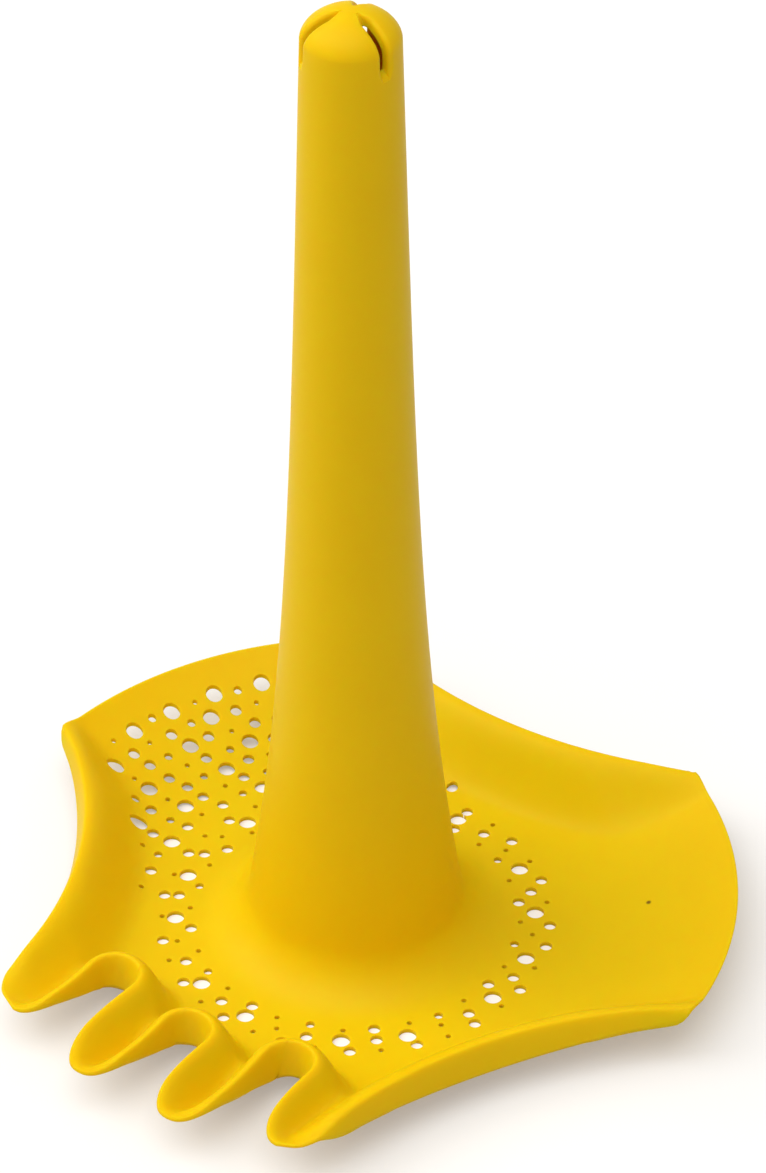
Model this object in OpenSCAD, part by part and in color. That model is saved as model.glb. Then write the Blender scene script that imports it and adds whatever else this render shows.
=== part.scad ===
// Three-armed sand shovel that stands on its flat floor ring.
// Millimetres, +Z up, handle on the Z axis, ground at z = 0, shovel arm along +X.

/* [Overall] */
// Height from the ground to the top of the dome
total_h = 270.4; // [240:0.1:300]
// Thickness of the handle's wall
wall = 2.2; // [1.8:0.1:2.6]
// Thickness of the dish's sheet
sheet_t = 1.3; // [1.1:0.1:1.6]

/* [Handle] */
// Outer radius at the shoulder under the dome
top_r = 11.5; // [10:0.1:13]
// Growth in radius from the shoulder to the ground, spread evenly
grip_taper = 7.7; // [6:0.1:10]
// Further growth in radius, gathered near the ground
flare_gain = 10.5; // [8:0.1:12]
// Height at which the flare passes into the grip
flare_h = 32; // [26:1:45]

/* [Cap] */
// Rise of the dome above the shoulder
dome_h = 5.8; // [3.5:0.1:6]
// Length of the skirt below the shoulder that belongs to the cap
skirt_h = 9.5; // [7:0.5:14]
// Rounding of the shoulder
shoulder_soft = 1.6; // [0.8:0.1:2]
// Number of slots in the dome
slot_count = 3; // [2:1:4]
// Width of a slot
slot_w = 2.2; // [1.6:0.1:2.6]
// Distance of a slot's inner end from the axis
slot_start = 4.7; // [4:0.1:6]
// Depth of a slot's outer end below the shoulder
slot_drop = 4.1; // [2:0.1:4.5]
// Radius of the scoop round a slot
scoop_r = 3.2; // [2.8:0.1:4]
// Depth of the scoop
scoop_depth = 0.8; // [0.4:0.1:1]
// Turn of the first slot from the shovel arm
slot_at = 77; // [40:1:80]

/* [Floor ring] */
// Radius at which the handle's flare ends
foot_r = 41; // [39:0.5:43]
// Outer radius of the flat floor
floor_r = 53; // [51:0.5:55]

/* [Blades] */
// Radius of the shovel's and sieve's outer edges
rim_r = 98.4; // [94:0.2:104]
// Height of the outer edges
rim_z = 15.4; // [13:0.1:17]
// Power of the sweep from the floor up to the edge
sweep = 2.1; // [1.8:0.1:2.6]
// Rise of the shovel's and sieve's corners above the edge
corner_lift = 1.5; // [0.2:0.1:2]
// Half the angle spanned by the shovel and by the sieve
arm_half = 28.4; // [26:0.1:30]
// Turn of the sieve from the shovel
sieve_at = 120; // [117:1:123]
// Turn of the rake from the shovel
rake_at = 238.2; // [237:0.1:242]
// Rounding of the arms' corners
corner_soft = 3; // [2:0.5:8]

/* [Waists] */
// Radius of a waist's edge at its middle
waist_r = 74.4; // [72:0.2:78]
// Height of the lip's crest
crest_z = 17.5; // [15.5:0.1:18.5]
// Distance from the crest to the edge at a waist's middle
lip_w = 3; // [2:0.1:4.6]
// Steepness of the flange outside the crest
lip_steep = 4; // [2.4:0.1:5]
// Rounding of the crest
lip_round = 1.3; // [1:0.1:2.4]
// Turn from an arm's corner to the place where the crest runs out
crest_turn = 1.1; // [0.5:0.1:3]
// Width over which a lip slopes down into an arm beside its corner
corner_in = 7; // [5:0.5:12]

/* [Rake] */
// Number of tines
tine_count = 4; // [3:1:5]
// Half the angle spanned by the rake
rake_half = 30.7; // [29:0.1:31.5]
// Radius of the circle on which the tips lie
tip_r = 98; // [94:0.1:102]
// Height of the tips
tip_z = 15; // [13.5:0.1:16]
// Rounding of the rake's outer corners
tip_round = 10; // [6:0.5:12]
// Width over which the lip round a tip slopes down into the tine
tip_in = 6; // [4:0.5:7]
// Length of a tine's blunt end
tine_l = 26.8; // [24:0.2:28]
// Bluntness of a tine's end, 2 for half an ellipse
tine_blunt = 2.4; // [2:0.1:3]
// Sideways shift of the row of tines
tine_shift = 0.75; // [-1.5:0.05:1.5]
// Radius of the circle on which the notches end
notch_r = 67.7; // [66.8:0.1:70]
// Half the width of a notch at its inner end
notch_half = 4.2; // [3.6:0.1:5]
// Height of the crest round a notch
notch_z = 16.8; // [16:0.1:17.6]
// Depth of the flange at a notch's inner end
notch_drop = 9.5; // [7:0.1:11]
// Distance from the rim at which a notch's flange runs out
notch_fade = 4; // [2:0.5:8]
// Steepness of a notch's flange
notch_steep = 6; // [4:0.5:7]
// Rounding of the crest round a notch
notch_curve = 1.6; // [0.8:0.1:2]

/* [Sieve holes] */
// Diameter of the large holes
hole_l = 4.6; // [4:0.1:4.8]
// Diameter of the medium holes
hole_m = 3.2; // [2.8:0.1:3.6]
// Diameter of the small holes
hole_s = 2.3; // [1.9:0.1:2.6]
// Diameter of the pin holes
hole_pin = 1.4; // [1.2:0.1:1.7]
// Spacing of the holes along a row on the floor ring
ring_pitch = 8.4; // [8.2:0.1:10]
// Spacing of the holes along a row on the sieve
hole_pitch = 6.6; // [6.2:0.1:8]
// Spacing of the rows on the sieve
row_step = 5.3; // [5.2:0.1:7]
// Distance from the floor ring to the first row on the sieve
fan_gap = 3.9; // [3.5:0.1:6]
// Solid margin between the holes and the sieve's outer edge
hole_margin = 9; // [9:0.5:16]
// Solid margin between the holes and the crest at a waist's middle
lip_clear = 13.5; // [10:0.5:17]
// Greatest shift of a hole from its place in the row
hole_shift = 0.4; // [0:0.1:0.6]

/* [Hidden] */
$fn = 48;
// Hairline between neighbouring regions, so that their faces meet and do not overlap
seam = 0.02;
// Turn that holes keep clear of an arm's seams, in degrees
seam_clear = 4;
shoulder_z = total_h - dome_h;
cap_z = shoulder_z - skirt_h;
foot_soft = foot_r - handle_r(sheet_t);
dome_r = (top_r * top_r + dome_h * dome_h) / (2 * dome_h);
SHOVEL = 0;
SIEVE = 1;
RAKE = 2;
arm_at = [0, sieve_at, rake_at];
arm_halves = [arm_half, arm_half, rake_half];
rake_corner_y = rim_r * sin(rake_half);
// The outermost tines are narrower by the share that the waists' lips take
tine_pitch = 2 * rake_corner_y / (tine_count - 0.3);
tine_half = tine_pitch / 2 - notch_half;
// A notch's round end and a tine's blunt end are joined from this turn on each
notch_turn = 80;
// The rake's lines leave the floor towards this distance and then run out side by side
bend_x = mix(floor_r, waist_r, 0.28);
// At a waist's middle a lip slopes down over this width, and ends short of the floor ring
lip_in = 0.95 * (waist_r - lip_w - floor_r);
notch_in = 0.95 * (notch_r - drop_w(notch_drop) - floor_r);
// The underside turns from below the sheet to the inner side of a flange over this width
hug_w = 2.7 * sheet_t;
// Crests keep their height up to this radius and then run down to the corners and tips
fade_r = mix(waist_r, rim_r, 0.5);
// Steps across an arm and from the floor out to the edge
arm_steps = 44;
out_steps = 16;
// Steps round a corner of the rake, on half a tine, on a join and round a notch's end
corner_steps = 12;
tine_steps = 7;
join_steps = 2;
notch_steps = 8;

// Curves

function mix(a, b, t) = a + (b - a) * t;
function clamp(x) = max(0, min(1, x));
function ease(x) = let(t = clamp(x)) t * t * (3 - 2 * t);
function soft_min(a, b, k) = let(h = max(k - abs(a - b), 0) / k) min(a, b) - h * h * k / 4;
function unit(v) = v / norm(v);
function sum(v, i = 0) = i < len(v) ? v[i] + sum(v, i + 1) : 0;
function product(v, i = 0) = i < len(v) ? v[i] * product(v, i + 1) : 1;
function flat(lists) = [for (l = lists) for (f = l) f];
// Values from a up to b in even steps, b left out
function spread(a, b, n) = [for (i = [0:n - 1]) mix(a, b, i / n)];

// Handle: profile points as [radius, height], the inner one a wall's thickness inside

function handle_r(z) =
    let(t = (total_h - dome_h - z) / (total_h - dome_h))
    top_r + grip_taper * t + flare_gain * pow(t, 4);
function foot_extra(z) =
    let(d = max(foot_soft - (z - sheet_t), 0))
    foot_soft - sqrt(max(foot_soft * foot_soft - d * d, 0));
function outer_pt(z) = [handle_r(z) + foot_extra(z), z];
function slope_pt(z) = outer_pt(z + 0.01) - outer_pt(max(z - 0.01, sheet_t));
function inner_pt(z) =
    let(d = slope_pt(z), n = unit([d[1], -d[0]]),
        t = mix(sheet_t, wall, clamp((z - sheet_t) / (flare_h - sheet_t))))
    z <= sheet_t ? [foot_r, 0] : outer_pt(z) - t * n;
function profile(zs) = concat(
    [for (z = zs) outer_pt(z)],
    [for (i = [len(zs) - 1:-1:0]) inner_pt(zs[i])]);

// Heights that start close together at the foot and open out upwards
flare_zs = [for (i = [0:14]) sheet_t + (flare_h - sheet_t) * pow(i / 14, 2)];
tube_zs = [for (i = [0:16]) mix(flare_h, cap_z, pow(i / 16, 1.3))];

module handle_flare() {
    color("gold")
        rotate_extrude()
            polygon(profile(flare_zs));
}

module handle_tube() {
    color("gold")
        rotate_extrude()
            polygon(profile(tube_zs));
}

// Cap: skirt, rounded shoulder and dome as one profile, less the slots

function dome_pt(r, out_r) = [r, total_h - dome_r + sqrt(out_r * out_r - r * r)];
function corner(a, b, c) =
    [for (i = [0:6]) let(t = i / 6) (1 - t) * (1 - t) * a + 2 * t * (1 - t) * b + t * t * c];
function dome_arc(start_r, out_r) =
    [for (i = [1:8]) dome_pt(start_r * (1 - i / 8), out_r)];
function cap_skin(inset) =
    let(low = [handle_r(cap_z) - inset, cap_z],
        side = [handle_r(shoulder_z - shoulder_soft) - inset, shoulder_z - shoulder_soft],
        out_r = dome_r - inset,
        edge = dome_pt(top_r - inset, out_r),
        up_r = top_r - inset - shoulder_soft)
    concat([low], corner(side, edge, dome_pt(up_r, out_r)), dome_arc(up_r, out_r));

module cap_solid() {
    outside = cap_skin(0);
    inside = cap_skin(wall);
    low_in = inner_pt(cap_z);
    inside_up = concat([low_in], [for (i = [1:len(inside) - 1]) inside[i]]);
    rotate_extrude()
        polygon(concat(outside, [for (i = [len(inside) - 1:-1:0]) inside_up[i]]));
}

module slot() {
    low_z = shoulder_z - slot_drop + slot_w / 2;
    translate([slot_start, -slot_w / 2, low_z])
        cube([top_r, slot_w, total_h]);
    translate([slot_start, 0, low_z])
        cylinder(d = slot_w, h = total_h);
    translate([slot_start, 0, low_z])
        rotate([0, 90, 0])
            cylinder(d = slot_w, h = top_r);
}

module scoop() {
    mid_r = (slot_start + top_r) / 2;
    tilt = asin(mid_r / dome_r);
    mid = dome_pt(mid_r, dome_r);
    translate([mid[0], 0, mid[1]])
        rotate([0, tilt, 0])
            translate([-dome_r / 2, 0, scoop_r - scoop_depth])
                rotate([0, 90, 0])
                    cylinder(r = scoop_r, h = dome_r);
}

module slotted_cap() {
    color("gold")
        difference() {
            cap_solid();
            for (i = [0:slot_count - 1])
                rotate(slot_at + i * 360 / slot_count) {
                    slot();
                    scoop();
                }
        }
}

// Outline of the arms: a circular edge, concave arcs at the waists, rounded corners

function neighbour(arm, side) = (arm + side + 3) % 3;
function gap_to(arm, side) = ((arm_at[neighbour(arm, side)] - arm_at[arm]) * side + 720) % 360;
function waist_half(arm, side) =
    (gap_to(arm, side) - arm_halves[arm] - arm_halves[neighbour(arm, side)]) / 2;
function waist_mid(arm, side) = arm_halves[arm] + waist_half(arm, side);
// Radius of the arc through a waist's middle and through two points of the rim
function bow_r(half, middle_r) =
    let(x = max(rim_r * cos(half) - middle_r, 1), y = rim_r * sin(half))
    (x * x + y * y) / (2 * x);
function bow_edge(turn, half) =
    let(r = bow_r(half, waist_r), d = waist_r + r, q = r * r - pow(d * sin(turn), 2))
    q > 0 ? d * cos(turn) - sqrt(q) : 4 * rim_r;
function arm_edge(arm, turn) =
    let(side = turn < 0 ? -1 : 1)
    soft_min(rim_r, bow_edge(waist_mid(arm, side) - abs(turn), waist_half(arm, side)), corner_soft);

// Outline of the rake in its own frame, x along the arm: blunt tines, notches with round ends

function notch_y(i) = (i - (tine_count - 2) / 2) * tine_pitch + tine_shift;
function notch_x(i) = sqrt(notch_r * notch_r - pow(notch_y(i), 2)) + notch_half;
function notch_pt(i, turn) = [notch_x(i) - notch_half * cos(turn), notch_y(i) + notch_half * sin(turn)];
function tine_y(k) = notch_y(0) + (k - 0.5) * tine_pitch;
function tine_start(k) = sqrt(tip_r * tip_r - pow(tine_y(k), 2)) - tine_l;
function tine_pt(k, turn) =
    let(along = pow(abs(cos(turn)), 2 / tine_blunt), across = pow(abs(sin(turn)), 2 / tine_blunt))
    [tine_start(k) + tine_l * along, tine_y(k) + tine_half * sign(turn) * across];
function tip_turn(k) = atan2(abs(tine_y(k)), tine_start(k) + tine_l);
function corner_pt(side, turn) =
    let(edge = bow_edge(waist_mid(RAKE, side) - turn, waist_half(RAKE, side)))
    soft_min(tip_r, edge, tip_round) * [cos(turn), side * sin(turn)];
function half_tine(k, first, last) = [for (t = spread(first, last, tine_steps)) tine_pt(k, t)];
function notch_end(i) = [for (t = spread(-notch_turn, notch_turn, notch_steps)) notch_pt(i, t)];
function notch_edge(i) = concat(
    half_tine(i, 0, notch_turn),
    spread(tine_pt(i, notch_turn), notch_pt(i, -notch_turn), join_steps),
    notch_end(i),
    spread(notch_pt(i, notch_turn), tine_pt(i + 1, -notch_turn), join_steps),
    half_tine(i + 1, -notch_turn, 0));
function rake_edge() =
    let(hair = asin(seam / waist_r), first = waist_mid(RAKE, -1) - hair, last = waist_mid(RAKE, 1) - hair)
    concat(
        [for (t = spread(first, tip_turn(0), corner_steps)) corner_pt(-1, t)],
        flat([for (i = [0:tine_count - 2]) notch_edge(i)]),
        [for (t = spread(tip_turn(tine_count - 1), last, corner_steps)) corner_pt(1, t)],
        [corner_pt(1, last)]);

// Lips: signed distance of a plan point from a crest, negative on the flange outside it

function waist_gap(p, arm) =
    let(middle_r = waist_r - lip_w,
        r = bow_r(waist_half(arm, 1) + crest_turn, middle_r),
        turn = arm_at[arm] + waist_mid(arm, 1))
    norm(p - (middle_r + r) * [cos(turn), sin(turn)]) - r;
// Depth of the notches' flanges at a radius, and the width in plan of a flange of some depth
function notch_depth(r) =
    let(t = min(1 - (r - notch_r) / (rim_r - notch_fade - notch_r), 1))
    notch_drop * (t + norm([t, 0.1])) / 2;
function drop_w(depth) = sqrt(pow(depth / notch_steep + notch_curve, 2) - notch_curve * notch_curve);
// Room from a tine's edge to the middle of the notch beside it, and the cosine of the edge's slant
function tine_room(k, x) =
    let(u = min(clamp((x - tine_start(k)) / tine_l), 0.999),
        root = pow(1 - pow(u, tine_blunt), 1 / tine_blunt),
        slant = tine_half / tine_l * pow(u / root, tine_blunt - 1))
    [tine_pitch / 2 - tine_half * root, 1 / norm([1, slant])];
function notch_gap(p, i) =
    let(x = p * [cos(rake_at), sin(rake_at)],
        y = p * [-sin(rake_at), cos(rake_at)] - notch_y(i),
        far_x = max(x, notch_x(i)),
        away = max(norm([x - far_x, y]), 0.000001),
        room = mix(tine_room(i, far_x), tine_room(i + 1, far_x), (1 + y / away) / 2))
    x < 0 ? rim_r : (away - room[0]) * room[1] - drop_w(notch_depth(norm(p)));
// Share of the sweep that is free of a lip at a distance from its crest
function free_share(gap, reach) = let(t = clamp(gap / reach)) 1 - pow(1 - t * t, 3);
// Drop of the flanges outside the crests, for a skin at some distance inside the outer one
function fall(out, steep, curve) = steep * (norm([max(out, 0), curve]) - curve);
function hem_share(p) = clamp(2 * notch_depth(norm(p)) / notch_drop);
function flange_drop(p, inset) =
    let(hem = inset * hem_share(p))
    sum([for (a = [SHOVEL:RAKE]) fall(hem - waist_gap(p, a), lip_steep, lip_round)])
    + sum([for (i = [0:tine_count - 2]) fall(hem - notch_gap(p, i), notch_steep, notch_curve)]);
// Share of the underside's shift to the inner side of a flange, whole from the crest outwards
function hug(p) =
    let(gaps = concat([for (a = [SHOVEL:RAKE]) waist_gap(p, a)],
                      [for (i = [0:tine_count - 2]) notch_gap(p, i)]))
    hem_share(p) * ease(1 - min(gaps) / hug_w);
// Outward lean of a flange: the level part of its unit normal
function lean(p) =
    let(e = 0.05,
        s = [for (d = [[e, 0], [0, e]]) (flange_drop(p + d, 0) - flange_drop(p - d, 0)) / (2 * e)])
    s / sqrt(1 + s * s);

// Height of the sheet's skin over a plan point: a sweep up from the floor, lips raised over it
function skin_z(p, arm, inset) =
    let(r = norm(p),
        base = sheet_t + (rim_z - sheet_t) * pow(clamp((r - floor_r) / (rim_r - floor_r)), sweep),
        far = ease((r - fade_r) / (rim_r - fade_r)),
        notch_reach = mix(notch_in, tip_in, clamp((r - notch_r) / (rim_r - notch_r))),
        lip_reach = mix(lip_in, corner_in, clamp((r - waist_r) / (rim_r - waist_r))),
        waists = product([for (a = [SHOVEL:RAKE]) free_share(waist_gap(p, a), lip_reach)]),
        notches = product([for (i = [0:tine_count - 2]) free_share(notch_gap(p, i), notch_reach)]),
        end_z = arm == RAKE ? tip_z : rim_z + corner_lift,
        crest = mix(mix(notch_z, crest_z, notches), end_z, far))
    mix(crest, base, waists * notches) - flange_drop(p, inset) - inset;

// Lines from the floor ring to the edge, as [start, middle, end] in plan

function polar(r, turn) = r * [cos(turn), sin(turn)];
function arm_line(arm, turn) =
    let(r = arm_edge(arm, turn), way = arm_at[arm] + turn)
    [polar(floor_r + seam, way), polar((floor_r + r) / 2, way), polar(r, way)];
function rake_line(end) =
    let(x = end[0],
        y = end[1],
        side = y < 0 ? -1 : 1,
        a = abs(y),
        mid_turn = waist_mid(RAKE, side),
        reach = waist_r * sin(mid_turn),
        corner_turn = atan(rake_corner_y / bend_x),
        in_rake = a <= rake_corner_y,
        past_turn = clamp((atan2(a, x) - rake_half) / (mid_turn - rake_half)),
        past_y = clamp((a - rake_corner_y) / (reach - rake_corner_y)),
        turn = in_rake ? atan(a / bend_x) : mix(corner_turn, mid_turn, past_turn),
        mid_r = in_rake ? bend_x / cos(turn)
            : mix(bend_x / cos(corner_turn), (floor_r + waist_r) / 2, past_y),
        way = rake_at + side * turn)
    [polar(floor_r + seam, way), polar(mid_r, way), polar(x, rake_at) + polar(y, rake_at + 90)];
function line_pt(line, q) = (1 - q) * (1 - q) * line[0] + 2 * q * (1 - q) * line[1] + q * q * line[2];

// Sheet: a grid of points on top, a second grid one thickness below it, and faces all round

function quad(a, b, c, d) = [[a, b, c], [a, c, d]];
function sheet_faces(n, m) =
    let(low = n * m)
    concat(
        flat([for (i = [0:n - 2]) for (j = [0:m - 2]) let(a = i * m + j)
            concat(quad(a, a + m, a + m + 1, a + 1),
                   quad(low + a, low + a + 1, low + a + m + 1, low + a + m))]),
        flat([for (i = [0:n - 2]) let(a = i * m, b = i * m + m - 1)
            concat(quad(a + m, a, low + a, low + a + m), quad(b, b + m, low + b + m, low + b))]),
        flat([for (j = [0:m - 2]) let(a = j, b = (n - 1) * m + j)
            concat(quad(a, a + 1, low + a + 1, low + a), quad(b + 1, b, low + b, low + b + 1))]));

module sheet(lines, arm) {
    shares = [for (j = [0:out_steps]) 1 - pow(1 - j / out_steps, 1.8)];
    plan = [for (l = lines) for (q = shares) line_pt(l, q)];
    plan_low = [for (l = lines) let(shift = sheet_t * lean(l[2])) for (q = shares)
        let(p = line_pt(l, q)) p - hug(p) * shift];
    top = [for (p = plan) [p[0], p[1], skin_z(p, arm, 0)]];
    under = [for (p = plan_low) [p[0], p[1], skin_z(p, arm, sheet_t)]];
    polyhedron(concat(top, under), sheet_faces(len(lines), out_steps + 1));
}

module arm_sheet(arm) {
    hair = asin(seam / waist_r);
    first = hair - waist_mid(arm, -1);
    last = waist_mid(arm, 1) - hair;
    sheet([for (i = [0:arm_steps]) arm_line(arm, mix(first, last, i / arm_steps))], arm);
}

module shovel_blade() {
    color("gold")
        arm_sheet(SHOVEL);
}

module rake_blade() {
    color("gold")
        sheet([for (end = rake_edge()) rake_line(end)], RAKE);
}

// Holes: rows round the floor ring and a fan of rows on the sieve, sizes mixed by a fixed rule

ring_rows = [for (share = [0.15, 0.475, 0.79]) mix(foot_r, floor_r, share)];
ring_sizes = [[hole_pin, hole_m, hole_pin, hole_s], [hole_l, hole_m, hole_l, hole_pin, hole_m],
              [hole_m, hole_pin, hole_m, hole_pin]];
fan_sizes = [hole_l, hole_s, hole_m, hole_pin, hole_m];
rim_sizes = [hole_l, hole_pin, hole_l, hole_s];
fan_rows = [for (r = [floor_r + fan_gap:row_step:rim_r - hole_margin]) r];

function wobble(i, j, k) = hole_shift * sin(137.5 * i + 71 * j + k);
function ring_count(j) = floor(2 * PI * ring_rows[j] / ring_pitch);
function ring_hole(i, j) =
    let(n = ring_count(j), sizes = ring_sizes[j], d = sizes[i % len(sizes)],
        r = ring_rows[j] + (d < hole_m ? wobble(i, j, 0) : 0),
        turn = 360 * (i + 0.5 * (j % 2)) / n + wobble(i, j, 90) / r * 180 / PI)
    [r, turn, d];
function fan_hole(i, j) =
    let(r = fan_rows[j] + wobble(i, j, 0),
        sizes = j < len(fan_rows) - 1 ? fan_sizes : rim_sizes,
        k = ((i + 2 * j) % len(sizes) + len(sizes)) % len(sizes),
        turn = ((i + 0.5 * (j % 2)) * hole_pitch + wobble(i, j, 90)) / fan_rows[j] * 180 / PI)
    [r, turn, sizes[k]];
function hole_fits(h) =
    let(p = polar(h[0], sieve_at + h[1]),
        clear = mix(lip_clear, hole_margin, clamp((h[0] - waist_r) / (rim_r - hole_margin - waist_r))))
    abs(h[1]) < waist_mid(SIEVE, sign(h[1])) - seam_clear
    && min(waist_gap(p, SHOVEL), waist_gap(p, SIEVE)) >= clear;

module drill(h, turn) {
    rotate(turn + h[1])
        translate([h[0], 0, -sheet_t])
            cylinder(d = h[2], h = crest_z + 2 * sheet_t);
}

module sieve_ring() {
    color("gold")
        difference() {
            rotate_extrude()
                translate([foot_r + seam, 0])
                    square([floor_r - foot_r - seam, sheet_t]);
            for (j = [0:len(ring_rows) - 1])
                for (i = [0:ring_count(j) - 1])
                    drill(ring_hole(i, j), 0);
        }
}

module sieve_blade() {
    reach = ceil(rim_r / hole_pitch);
    color("gold")
        difference() {
            arm_sheet(SIEVE);
            for (j = [0:len(fan_rows) - 1])
                for (i = [-reach:reach]) {
                    h = fan_hole(i, j);
                    if (hole_fits(h))
                        drill(h, sieve_at);
                }
        }
}

slotted_cap();
handle_tube();
handle_flare();
sieve_ring();
shovel_blade();
sieve_blade();
rake_blade();
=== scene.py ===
"""Looks of the three-armed sand shovel: one closed, seamless moulding in satin yellow plastic.

The moulding is a single grid of lines that run from the top of the dome down the handle, over the
floor ring, out along an arm, round the free edge and back underneath to the inside of the dome.
Sizes are in millimetres until the mesh is made, and the frame is the CAD part's.
"""
import logging
import math
from dataclasses import dataclass, field
from enum import Enum
from typing import Sequence

import bpy
import numpy as np
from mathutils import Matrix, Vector


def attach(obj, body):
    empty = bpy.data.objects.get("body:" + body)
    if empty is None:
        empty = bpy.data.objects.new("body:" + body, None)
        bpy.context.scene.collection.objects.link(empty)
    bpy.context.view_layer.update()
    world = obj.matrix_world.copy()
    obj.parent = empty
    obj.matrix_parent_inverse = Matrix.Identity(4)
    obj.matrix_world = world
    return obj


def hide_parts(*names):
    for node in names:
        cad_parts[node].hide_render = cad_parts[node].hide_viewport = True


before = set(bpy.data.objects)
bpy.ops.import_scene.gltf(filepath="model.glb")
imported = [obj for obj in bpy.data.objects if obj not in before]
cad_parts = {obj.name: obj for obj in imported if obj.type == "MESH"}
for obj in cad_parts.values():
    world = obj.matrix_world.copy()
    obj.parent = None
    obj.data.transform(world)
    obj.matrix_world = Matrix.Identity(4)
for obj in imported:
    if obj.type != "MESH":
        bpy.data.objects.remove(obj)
LOG = logging.getLogger("sand_shovel")
MM = 0.001
# Small steps in millimetres, and limits that keep divisions finite.
STEP = 0.01
PLAN_STEP = 0.05
TINY = 1e-6
NEAR_TIP = 0.999


class Arm(Enum):
    """The three arms of the dish, in the order in which they follow each other."""

    SHOVEL = 0
    SIEVE = 1
    RAKE = 2


class Side(Enum):
    """The two sides of an arm, seen from the handle."""

    LEFT = 1
    RIGHT = -1


def mix(a: np.ndarray, b: np.ndarray, t: np.ndarray) -> np.ndarray:
    """Blend two values, numbers or arrays.

    Args:
        a: Value at t = 0.
        b: Value at t = 1.
        t: Share of b.

    Returns:
        The blended value.
    """
    return a + (b - a) * t


def clamp(x: np.ndarray) -> np.ndarray:
    """Limit values to 0..1."""
    return np.clip(x, 0.0, 1.0)


def ease(x: np.ndarray) -> np.ndarray:
    """Smooth step from 0 to 1."""
    t = clamp(x)
    return t * t * (3 - 2 * t)


def soft_min(a: np.ndarray, b: np.ndarray, k: float) -> np.ndarray:
    """Smaller of two values with a rounded change-over.

    Args:
        a: First value.
        b: Second value.
        k: Width of the change-over.

    Returns:
        The rounded minimum.
    """
    h = np.maximum(k - np.abs(a - b), 0.0) / k
    return np.minimum(a, b) - h * h * k / 4


def polar(r: np.ndarray, turn: np.ndarray) -> np.ndarray:
    """Plan points from polar ones.

    Args:
        r: Radius.
        turn: Angle from the shovel's middle in degrees.

    Returns:
        Rows of x and y.
    """
    a = np.radians(turn)
    return np.stack([r * np.cos(a), r * np.sin(a)], axis=-1)


def band_faces(rows: int, count: int) -> list[tuple[int, ...]]:
    """Four-sided faces between closed rows of points that follow each other.

    Args:
        rows: Number of rows.
        count: Points in each row.

    Returns:
        Numbers of each face's points.
    """
    faces = []
    for k in range(rows - 1):
        for i in range(count):
            j = (i + 1) % count
            faces.append((k * count + i, (k + 1) * count + i, (k + 1) * count + j, k * count + j))
    return faces


def closed_mesh(name: str, points: Sequence[Sequence[float]], faces: list[tuple[int, ...]]) -> bpy.types.Mesh:
    """Mesh of a closed body.

    Args:
        name: Name of the mesh.
        points: Points in millimetres.
        faces: Numbers of each face's points.

    Returns:
        The mesh, in metres.
    """
    made = bpy.data.meshes.new(name)
    made.from_pydata((np.asarray(points) * MM).tolist(), [], faces)
    made.update()
    return made


def add_object(name: str, data: bpy.types.ID) -> bpy.types.Object:
    """Put an object into the scene.

    Args:
        name: Name of the object.
        data: Its mesh, lamp or camera.

    Returns:
        The object.
    """
    made = bpy.data.objects.new(name, data)
    bpy.context.scene.collection.objects.link(made)
    return made


@dataclass(frozen=True)
class HandleSize:
    """Sizes of the handle and its dome, in millimetres."""

    total_h: float = 270.4
    wall: float = 2.2
    foot_t: float = 1.3
    top_r: float = 11.5
    grip_taper: float = 7.7
    flare_gain: float = 10.5
    flare_h: float = 32.0
    dome_h: float = 5.8
    shoulder_soft: float = 1.6
    foot_r: float = 41.0

    @property
    def shoulder_z(self) -> float:
        """Height of the shoulder under the dome."""
        return self.total_h - self.dome_h

    @property
    def dome_r(self) -> float:
        """Radius of the dome's sphere."""
        return (self.top_r ** 2 + self.dome_h ** 2) / (2 * self.dome_h)


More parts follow.
